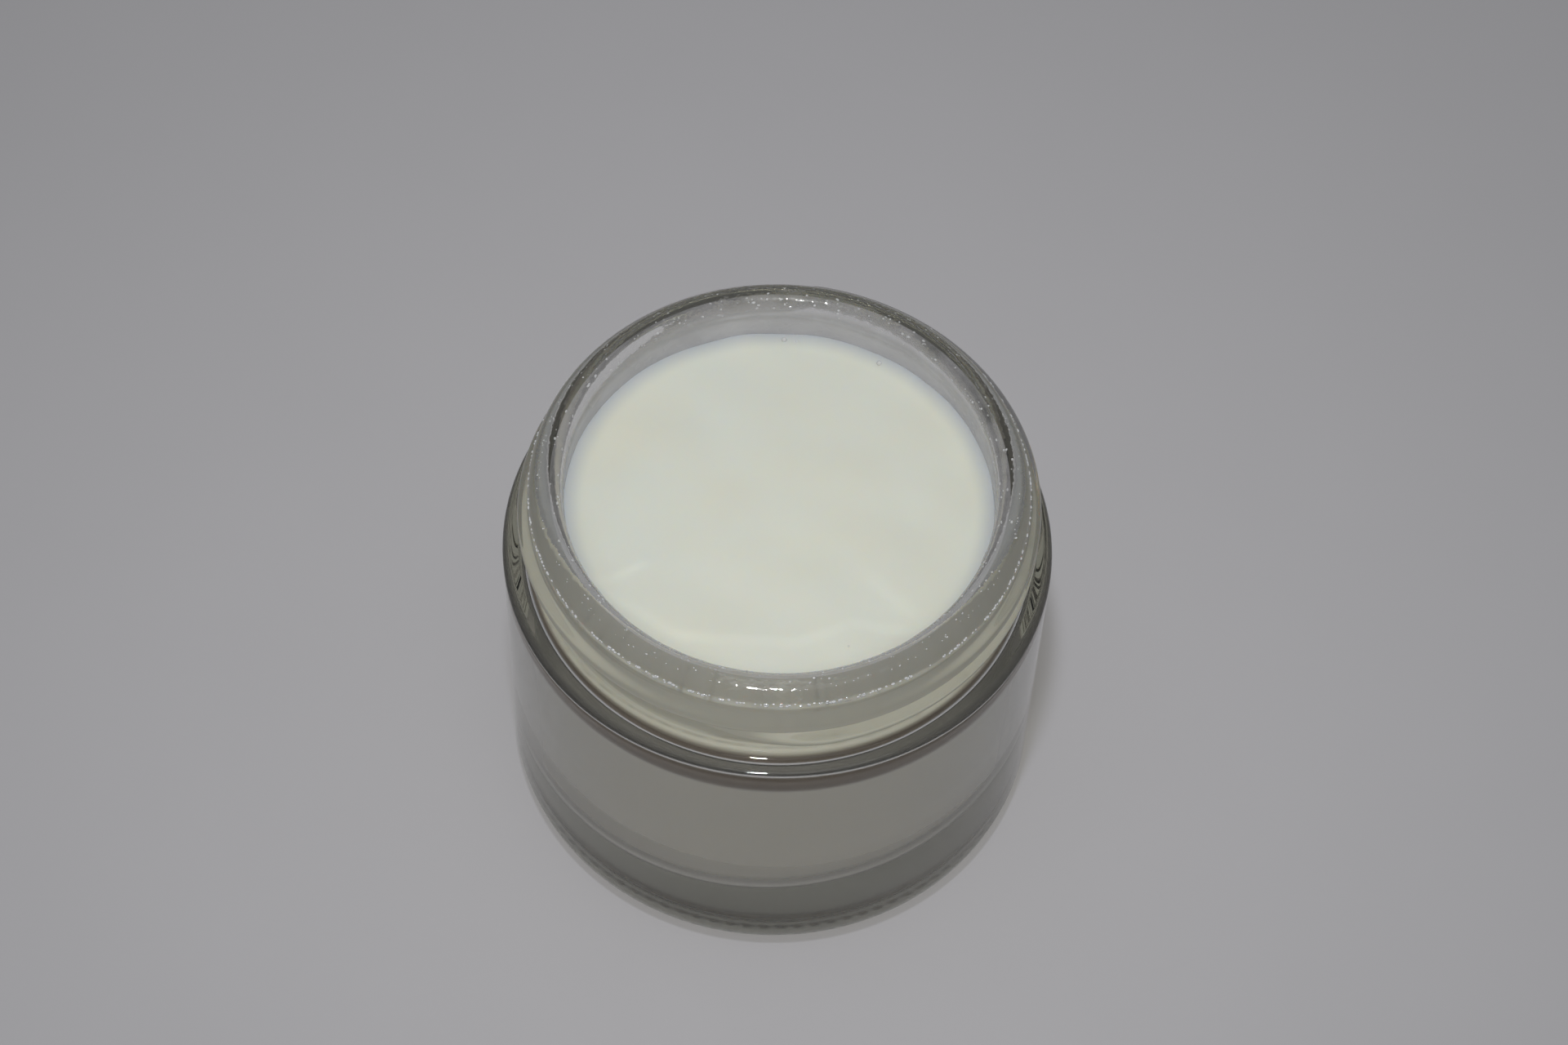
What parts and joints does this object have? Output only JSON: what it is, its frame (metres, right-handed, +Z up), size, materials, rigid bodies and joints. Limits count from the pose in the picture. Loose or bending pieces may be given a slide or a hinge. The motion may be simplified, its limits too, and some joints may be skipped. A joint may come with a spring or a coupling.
{
  "type": "cosmetic cream jar",
  "caption": "Open heavy-based clear glass jar with a right-hand threaded neck, a flat shoulder and a flat bearing ring, filled with pale cosmetic cream to just below the rim.",
  "frame": {"origin": "centre of the base, on the plane that the bearing ring stands on", "axes": "+Z up along the jar's axis, out of the mouth; -Y is the side that the thread's last turn runs out on"},
  "size_m": [0.06, 0.06, 0.0515],
  "materials": {
    "clear_glass": "fire-polished clear soda-lime glass, very slightly grey-green in the thick base",
    "cosmetic_cream": "soft satin, off-white with a faint green-yellow cast"
  },
  "bodies": {
    "root": {"glass_jar": "clear_glass", "cream": "cosmetic_cream"}
  },
  "joints": []
}
